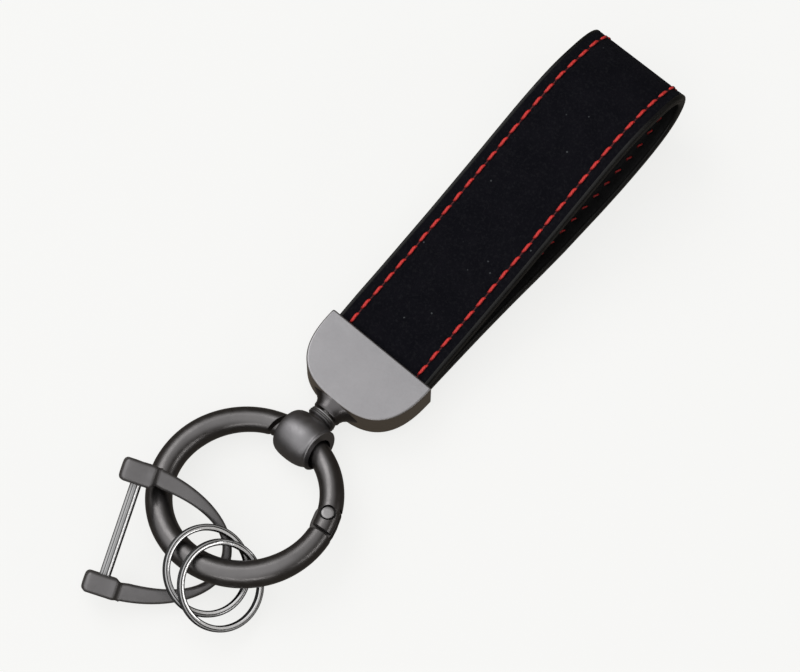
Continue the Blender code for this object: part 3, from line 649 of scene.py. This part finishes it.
def build_cap():
    outline = []
    for k in range(73):
        x, y = superellipse(CAP_HALF, CAP_DEPTH, CAP_CURVE, math.pi * k / 72)
        outline.append((x, -y))
    shell = sweep([[(x, y, z) for x, y in outline] for z in (CAP_BOTTOM, CAP_TOP)])
    inner = []
    for k in range(73):
        x, y = superellipse(
            CAP_HALF - CAP_WALL, CAP_DEPTH - CAP_WALL, CAP_CURVE, math.pi * k / 72)
        if y <= POCKET_DEPTH:
            inner.append((x, -y))
    inner = [(inner[0][0], 1.0)] + inner + [(inner[-1][0], 1.0)]
    levels = (AXIS_Z - POCKET_HALF_HEIGHT, AXIS_Z + POCKET_HALF_HEIGHT)
    pocket = sweep([[(x, y, z) for x, y in inner] for z in levels])
    shell = cut(shell, pocket)
    place("cap_shell", shell, "cap", "strap_and_cap", ("end_cap",), sharp=50.0,
          modifiers=[bevelled(0.42, 4, 50.0)])
    collar = turned([
        (0.0, 2.0), (0.0, 3.45), (0.4, 3.42), (0.9, 3.30), (1.5, 3.16), (2.2, 3.10), (2.75, 3.08),
        (2.95, 2.92), (2.95, 2.0)], (0, -1, 0), (0, COLLAR_Y, AXIS_Z), 64)
    for vertex in collar.verts:
        # the collar widens sideways where it meets the cap
        share = max(0.0, (vertex.co.y - COLLAR_Y + 2.5) / 2.5)
        vertex.co.x *= 1.0 + 0.65 * share * share
    place("cap_collar", collar, "collar", "strap_and_cap", sharp=45.0)


def build_swivel():
    profile = [(-0.30, POST_BORE), (-0.30, 2.70), (-0.22, 2.90), (-0.05, 2.96), (0.10, 2.88),
               (0.16, 2.78)]
    for ridge in range(2):
        start = 0.16 + 0.42 * ridge
        profile += [(start + 0.08, 2.98), (start + 0.21, 3.07), (start + 0.34, 2.98),
                    (start + 0.42, 2.78)]
    profile += [(1.10, 2.62), (1.10, POST_BORE)]
    spacer = turned(profile, (0, -1, 0), (0, SPACER_Y, AXIS_Z), closed=True)
    place("spacer_rings", spacer, "pin", "swivel", ("swivel_spacer",), sharp=60.0)
    middle = (0, BAIL_Y, AXIS_Z - BAIL_DROP)
    outside = [
        (-3.92, 3.62), (-4.10, 3.75), (-4.15, 3.95), (-4.05, 4.22), (-3.8, 4.45), (-3.3, 4.70),
        (-2.6, 4.89), (-1.8, 5.01), (-0.9, 5.08), (0.0, 5.10), (0.9, 5.07), (1.7, 4.98),
        (2.4, 4.83), (3.0, 4.60), (3.4, 4.41), (3.7, 4.30), (3.95, 4.29), (4.15, 4.36),
        (4.34, 4.38), (4.48, 4.28), (4.52, 4.12), (4.46, 3.92)]
    inside = [(4.36, 3.3), (4.2, 2.2), (-3.8, 2.2), (-3.86, 3.3)]
    bail = turned(outside + inside, (1, 0, 0), middle, 96, closed=True)
    for vertex in bail.verts:
        # the underside is a little flatter than the top
        below = middle[2] - vertex.co.z
        vertex.co.z += BAIL_SAG * max(below, 0.0)
    bmesh.ops.rotate(bail, cent=middle, verts=bail.verts,
                     matrix=Matrix.Rotation(math.radians(-BAIL_TURN), 3, "Y"))
    bore = turned([(0.0, 1.6), (3.6, 1.6)], (0, -1, 0), (0, BAIL_Y + 7.0, AXIS_Z), 40)
    bail = cut(bail, bore)
    passage = ring_tube(lambda angle: BAIL_PASSAGE, 68.0, 116.0, square, square, 24, 48)
    bmesh.ops.transform(passage, matrix=RING, verts=passage.verts)
    place("bail_barrel", cut(bail, passage), "bail", "swivel", ("bail",), sharp=50.0,
          modifiers=[bevelled(0.14, 3, 50.0)])
    neck = turned([(0.0, POST_BORE), (0.0, 2.55), (0.3, 2.75), (0.9, 3.0), (0.9, POST_BORE)],
                  (0, -1, 0), (0, NECK_Y, AXIS_Z), closed=True)
    place("bail_neck", neck, "gunmetal", "swivel", sharp=60.0)


# ---------------------------------------------------------------- round ring

RING = leaning(RING_CENTRE, RING_LEAN, RING_HEADING)


def ring_tube(radius_at, first, last, first_slant, last_slant, steps, sides=36):
    """An arc of the ring's tube; each slant turns an offset from the tube's centre into degrees."""
    sections = []
    for k in range(steps + 1):
        share = k / steps
        angle = first + (last - first) * share
        radius = radius_at(angle)
        section = []
        for i in range(sides):
            a = 2.0 * math.pi * (i + 0.5) / sides
            offset, height = radius * math.cos(a), radius * math.sin(a)
            shift = first_slant(offset) * (1 - share) ** 6 + last_slant(offset) * share ** 6
            around = math.radians(angle + shift)
            section.append((
                (RING_R + offset) * math.cos(around), (RING_R + offset) * math.sin(around), height))
        sections.append(section)
    return sweep(sections)


def square(offset):
    """The slant of an end cut straight across."""
    return 0.0


def slant(inner, outer, radius):
    """Middle angle and slant of an end that reaches inner degrees inside, outer outside."""
    slope = (outer - inner) / (2.0 * radius)
    return 0.5 * (inner + outer), lambda offset: slope * offset


def at_pin(along, outward, height):
    """A point measured from the hinge pin: along the ring, outward from it, and up."""
    a = math.radians(PIN_ANGLE)
    out, on = Vector((math.cos(a), math.sin(a), 0.0)), Vector((-math.sin(a), math.cos(a), 0.0))
    return out * (RING_R + outward) + on * along + Vector((0, 0, height))


def body_radius(angle):
    share = min(max((angle - NOSE_INNER) / (TAPER_END - NOSE_INNER), 0.0), 1.0)
    hinge_share = min(max((angle - HINGE_TAPER) / (SEAM_ANGLE + 360.0 - HINGE_TAPER), 0.0), 1.0)
    return NOSE_TUBE + (BODY_TUBE - NOSE_TUBE) * share - 0.17 * hinge_share


def prism(outline, low, high):
    return sweep([[at_pin(x, y, z) for x, y in outline] for z in (low, high)])


def build_ring():
    nose_angle, nose_slant = slant(NOSE_INNER, NOSE_OUTER, NOSE_TUBE)
    body = ring_tube(body_radius, nose_angle, SEAM_ANGLE + 360.0, nose_slant, square, 150)
    tongue = [(-5.5, 1.5), (-3.6, 2.1), (-1.8, 2.36)]
    for angle in range(-80, 91, 10):
        swell = min(max((angle - 50.0) / 40.0, 0.0), 1.0)
        radius = KNUCKLE + KNUCKLE_SWELL * swell
        outward = min(-radius * math.sin(math.radians(angle)), GATE_TUBE)
        tongue.append((radius * math.cos(math.radians(angle)), outward))
    tongue += [(-2.2, -2.92), (-3.8, -2.75), (-5.5, -2.6)]
    layers = []
    for z in (-1.0, -0.8, -0.5, 0.0, 0.5, 0.8, 1.0):
        scale = math.sqrt(1.0 - (z / TONGUE_ROUNDING) ** 2)
        layers.append([at_pin(x, y * scale, z) for x, y in tongue])
    place("hinge_tongue", sweep(layers), "tongue", "ring_part", (), RING, 40.0)
    place("ring_tube", body, "gunmetal", "ring_part", ("ring_body",), RING, 45.0,
          [bevelled(0.16, 3, 40.0)])
    end_angle, end_slant = slant(GATE_END_INNER, GATE_END_OUTER, GATE_TUBE)
    gate = ring_tube(
        lambda angle: GATE_TUBE, EAR_ANGLE, end_angle,
        lambda offset: EAR_RELIEF * max(-offset, 0.0) / GATE_TUBE, end_slant, 70)
    slot = [(-8, 6), (-8, -6), (0, -6)]
    for angle in range(-90, 91, 10):
        a = math.radians(angle)
        slot.append((SLOT_END * math.cos(a), SLOT_END * math.sin(a)))
    gate = cut(gate, prism(slot + [(0, 6)], -SLOT_HALF, SLOT_HALF))
    for low, high in ((PIN_RECESS_FLOOR, 4.0), (-4.0, -PIN_RECESS_FLOOR)):
        recess = turned([(low, PIN_RECESS), (high, PIN_RECESS)], (0, 0, 1), at_pin(0, 0, 0), 48)
        gate = cut(gate, recess)
    place("gate_tube", gate, "gunmetal", "gate_part", ("gate",), RING, 45.0,
          [bevelled(0.13, 3, 40.0)])
    # dark rings at the floor of both pin recesses: painted shadow around the pin head
    for name, side in (("top", 1.0), ("under", -1.0)):
        low, high = (PIN_RECESS_FLOOR - 0.08) * side, (PIN_RECESS_FLOOR + 0.08) * side
        seat = turned([(low, 1.1), (low, 1.66), (high, 1.66), (high, 1.1)],
                      (0, 0, 1), at_pin(0, 0, 0), 48, closed=True)
        place(f"pin_recess_shadow_{name}", seat, "recess", "gate_part", (), RING)
    ends = [(1.45, 1.30), (2.18, 1.30), (2.30, 1.24), (2.34, 1.12), (2.36, 0.6)]
    pin = turned([(-d, r) for d, r in reversed(ends)] + ends, (0, 0, 1), at_pin(0, 0, 0), 48)
    place("hinge_pin", pin, "pin", "ring_part", ("gate_pin",), RING, 50.0)


# ---------------------------------------------------------------- shackle, bar and split rings

def bow_section(outer, inner, thickness, corner):
    width = math.hypot(outer[0] - inner[0], outer[1] - inner[1])
    middle = (0.5 * (outer[0] + inner[0]), 0.5 * (outer[1] + inner[1]))
    across = ((outer[0] - inner[0]) / width, (outer[1] - inner[1]) / width)
    radius = min(corner, 0.45 * width, 0.45 * thickness)
    section = []
    for quadrant, (sx, sz) in enumerate(((1, 1), (-1, 1), (-1, -1), (1, -1))):
        for part in range(0, 91, 15):
            a = math.radians(90.0 * quadrant + part)
            off = sx * (0.5 * width - radius) + radius * math.cos(a)
            height = sz * (0.5 * thickness - radius) + radius * math.sin(a)
            section.append((middle[0] + across[0] * off, middle[1] + across[1] * off, height))
    return section


def shackle_lug(extra):
    """Sections of the lug on the +u side, from its free end to the step down to the arm."""
    sections = []
    for k in range(7):
        a = math.radians(90.0 * k / 6)
        inset = LUG_ROUNDING * (1.0 - math.sin(a))
        v = LUG_END + LUG_ROUNDING * (1.0 - math.cos(a))
        sections.append((v, inset, LUG_THICK - 1.5 * inset))
    sections += [
        (-1.5, 0.0, LUG_THICK), (0.0, 0.0, 4.76), (1.2, 0.0, 4.72), (1.9, 0.0, 4.76),
        (2.5, 0.0, 4.88), (2.85, 0.02, 4.88), (3.1, 0.06, 4.62), (3.3, 0.10, 4.15),
        (3.5, 0.12, 3.65), (3.75, 0.13, 3.25), (4.0, 0.10, 3.08), (4.2, 0.05, 3.10)]
    made = []
    for v, inset, thickness in sections:
        inner = BOW_INNER - (0.4 + extra) * min(1.0, max(0.0, (3.6 - v) / 0.8))
        made.append(bow_section((BOW_OUTER - inset, v), (inner + inset, v), thickness, 0.85))
    return made


def build_shackle():
    lug = shackle_lug(0.0)
    first = math.degrees(math.asin(4.4 / BOW_OUTER_DEPTH))
    sections = list(lug)
    steps = 96
    for k in range(steps + 1):
        a = math.radians(first + (180.0 - 2.0 * first) * k / steps)
        outer = (BOW_OUTER * math.cos(a), BOW_OUTER_DEPTH * math.sin(a))
        inner = superellipse(BOW_INNER, BOW_INNER_DEPTH, BOW_INNER_CURVE, a)
        sections.append(bow_section(outer, inner, 3.2 - 0.8 * math.sin(a), 0.75))
    for section in reversed(shackle_lug(0.4)):
        sections.append([(-u, v, w) for u, v, w in section])
    shackle = sweep(sections)
    seat = -BOW_OUTER + BAR_HEAD_DEPTH
    bores = ((-BOW_OUTER - 1.0, seat, BAR_HEAD_SEAT), (seat - 0.2, 12.0, BAR_HOLE))
    for start, end, radius in bores:
        hole = turned([(start, radius), (end, radius)], (1, 0, 0), (0, BAR_V, 0), 40)
        shackle = cut(shackle, hole)
    frame_matrix = leaning(*SHACKLE)
    place("shackle_bow", shackle, "shackle", "shackle_part", ("shackle",),
          frame_matrix, 50.0)
    head = -BOW_OUTER
    bar = turned([
        (head + 0.1, BAR_HEAD - 0.2), (head + 0.3, BAR_HEAD), (head + 1.0, BAR_HEAD),
        (head + 1.0, BAR_RADIUS),
        (BAR_TIP - 0.3, BAR_RADIUS), (BAR_TIP, BAR_RADIUS - 0.3)], (1, 0, 0), (0, BAR_V, 0), 96)
    for vertex in bar.verts:
        y, z = vertex.co.y - BAR_V, vertex.co.z
        if vertex.co.x > head + 1.0 and math.hypot(y, z) > 0.5:
            flute = 1.0 - FLUTE_DEPTH * (1.0 + math.cos(FLUTES * math.atan2(z, y)))
            vertex.co.y, vertex.co.z = BAR_V + y * flute, z * flute
    outline = ((head - 1, -3), (head + 0.55, -3), (head + 0.55, 3), (head - 1, 3))
    slot = sweep([[(x, y, z) for x, y in outline] for z in (-0.25, 0.25)])
    place("screw_bar", cut(bar, slot), "bar", "bar_part", ("shackle_bar",),
          frame_matrix, 40.0)


def build_split_ring(number, settings):
    centre, lean, heading, turn = settings
    pitch = WIRE_HEIGHT + TURN_GAP
    steps, sides = 300, 28
    outline = []
    for k in range(sides):
        a = 2.0 * math.pi * k / sides - 0.5 * math.pi
        outline.append((0.5 * WIRE_WIDTH * math.cos(a), 0.5 * WIRE_HEIGHT * (1.0 + math.sin(a))))
    sections = []
    for k in range(steps + 1):
        angle = COIL_DEGREES * k / steps
        crossing = 0.5 * (COIL_DEGREES - COIL_STEP_DEGREES)
        share = min(max((angle - crossing) / COIL_STEP_DEGREES, 0.0), 1.0)
        low = -0.5 * pitch - 0.5 * WIRE_HEIGHT + pitch * share * share * (3.0 - 2.0 * share)
        a = math.radians(angle)
        sections.append([
            ((SPLIT_R + off) * math.cos(a), (SPLIT_R + off) * math.sin(a), low + rise)
            for off, rise in outline])
    coil = sweep(sections)
    around = coil.verts.layers.float.new("around")
    for index, vertex in enumerate(coil.verts):
        vertex[around] = (index % sides) / sides
    place(f"split_coil_{number}", coil, "wire", f"split_ring_{number}_part",
          (f"split_ring_{number}",), leaning(centre, lean, heading, turn), 50.0)


# ---------------------------------------------------------------- stage

def build_stage():
    s = Shader("studio_floor", Roughness=0.9, Specular_IOR_Level=0.0,
               Emission_Color=(1.0, 1.0, 0.985, 1.0), Emission_Strength=FLOOR_GLOW)
    s.clouded(3.0, 0.3, (0.138, 0.138, 0.136), (0.142, 0.142, 0.140), 1.0)
    mesh = bpy.data.meshes.new("floor")
    corners = [(x * FLOOR_HALF, y * FLOOR_HALF, 0) for x, y in ((-1, -1), (1, -1), (1, 1), (-1, 1))]
    mesh.from_pydata(corners, [], [(0, 1, 2, 3)])
    mesh.materials.append(s.material)
    floor = bpy.data.objects.new("floor", mesh)
    floor.location.z = -FLOOR_DROP
    bpy.context.scene.collection.objects.link(floor)
    floor.visible_glossy = False


def build_backdrop():
    """A pale dome behind the floor, seen directly but left out of reflections and lighting."""
    s = Shader("studio_backdrop", Roughness=1.0, Specular_IOR_Level=0.0,
               Emission_Color=(1.0, 1.0, 0.985, 1.0), Emission_Strength=BACKDROP_GLOW)
    s.clouded(1.0, 0.3, (0.010, 0.010, 0.010), (0.012, 0.012, 0.012), 1.0)
    made = bmesh.new()
    bmesh.ops.create_uvsphere(made, u_segments=48, v_segments=24, radius=BACKDROP_RADIUS)
    mesh = bpy.data.meshes.new("backdrop")
    made.to_mesh(mesh)
    made.free()
    mesh.shade_smooth()
    mesh.materials.append(s.material)
    backdrop = bpy.data.objects.new("backdrop", mesh)
    bpy.context.scene.collection.objects.link(backdrop)
    for rays in ("visible_glossy", "visible_diffuse", "visible_shadow", "visible_transmission"):
        setattr(backdrop, rays, False)


def add_light(name, location, size, energy):
    light = bpy.data.lights.new(name, "AREA")
    light.shape = "RECTANGLE"
    light.size, light.size_y = size
    light.energy = energy
    obj = bpy.data.objects.new(name, light)
    obj.location = location
    obj.rotation_euler = (-Vector(location)).to_track_quat("-Z", "Y").to_euler()
    bpy.context.scene.collection.objects.link(obj)


def build_world():
    """A big soft light overhead, a little to the left of the view, in a dark room."""
    world = bpy.data.worlds.new("studio")
    world.use_nodes = True
    tree = world.node_tree
    coords = tree.nodes.new("ShaderNodeTexCoord")
    towards = tree.nodes.new("ShaderNodeVectorMath")
    towards.operation = "DOT_PRODUCT"
    towards.inputs[1].default_value = Vector(SKY_CENTRE).normalized()
    tree.links.new(coords.outputs["Generated"], towards.inputs[0])
    level = tree.nodes.new("ShaderNodeMapRange")
    level.interpolation_type = "SMOOTHSTEP"
    limits = {
        "From Min": math.cos(math.radians(SKY_EDGE)), "From Max": math.cos(math.radians(SKY_CORE)),
        "To Min": 0.0, "To Max": 1.0}
    for key, value in limits.items():
        level.inputs[key].default_value = value
    tree.links.new(towards.outputs["Value"], level.inputs["Value"])
    mix = tree.nodes.new("ShaderNodeMix")
    mix.data_type = "RGBA"
    mix.inputs[6].default_value = (*SKY_LOW, 1.0)
    mix.inputs[7].default_value = (*SKY_HIGH, 1.0)
    tree.links.new(level.outputs["Result"], mix.inputs[0])
    tree.links.new(mix.outputs[2], tree.nodes["Background"].inputs["Color"])
    bpy.context.scene.world = world
    bpy.context.scene.view_settings.view_transform = "Standard"


def build_camera():
    elevation, azimuth = math.radians(ELEVATION), math.radians(AZIMUTH)
    back = Vector((
        math.sin(azimuth) * math.cos(elevation), -math.cos(azimuth) * math.cos(elevation),
        math.sin(elevation)))
    right = Vector((math.cos(azimuth), math.sin(azimuth), 0.0))
    up = back.cross(right)
    target = (SHIFT + Vector((0.0, 0.0, TARGET_Z))) * MM
    data = bpy.data.cameras.new("camera")
    data.sensor_width, data.lens = SENSOR, LENS
    data.shift_x, data.shift_y = SHIFT_X, SHIFT_Y
    data.clip_start, data.clip_end = 0.01, 20.0
    camera = bpy.data.objects.new("camera", data)
    rotation = Matrix((right, up, back)).transposed().to_4x4()
    camera.matrix_world = Matrix.Translation(target + back * DISTANCE) @ rotation
    bpy.context.scene.collection.objects.link(camera)
    bpy.context.scene.camera = camera


build_strap()
build_stitching()
build_cap()
build_swivel()
build_ring()
build_shackle()
for ring_number, ring_settings in enumerate(SPLIT_RINGS, start=1):
    build_split_ring(ring_number, ring_settings)
for node in ("swivel_post", "post_retaining_washer", "gate_spring", "gate_plunger"):
    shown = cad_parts[node]
    shown.data.materials.clear()
    shown.data.materials.append(MATERIALS["steel"])
build_stage()
build_backdrop()
add_light("key", (-0.58, 0.08, 0.69), (0.5, 0.5), 1.6)
add_light("front_strip", (0.42, -0.60, 0.36), (0.7, 0.12), 0.75)
add_light("side_strip", (0.72, 0.34, 0.36), (0.7, 0.12), 0.9)
build_world()
build_camera()
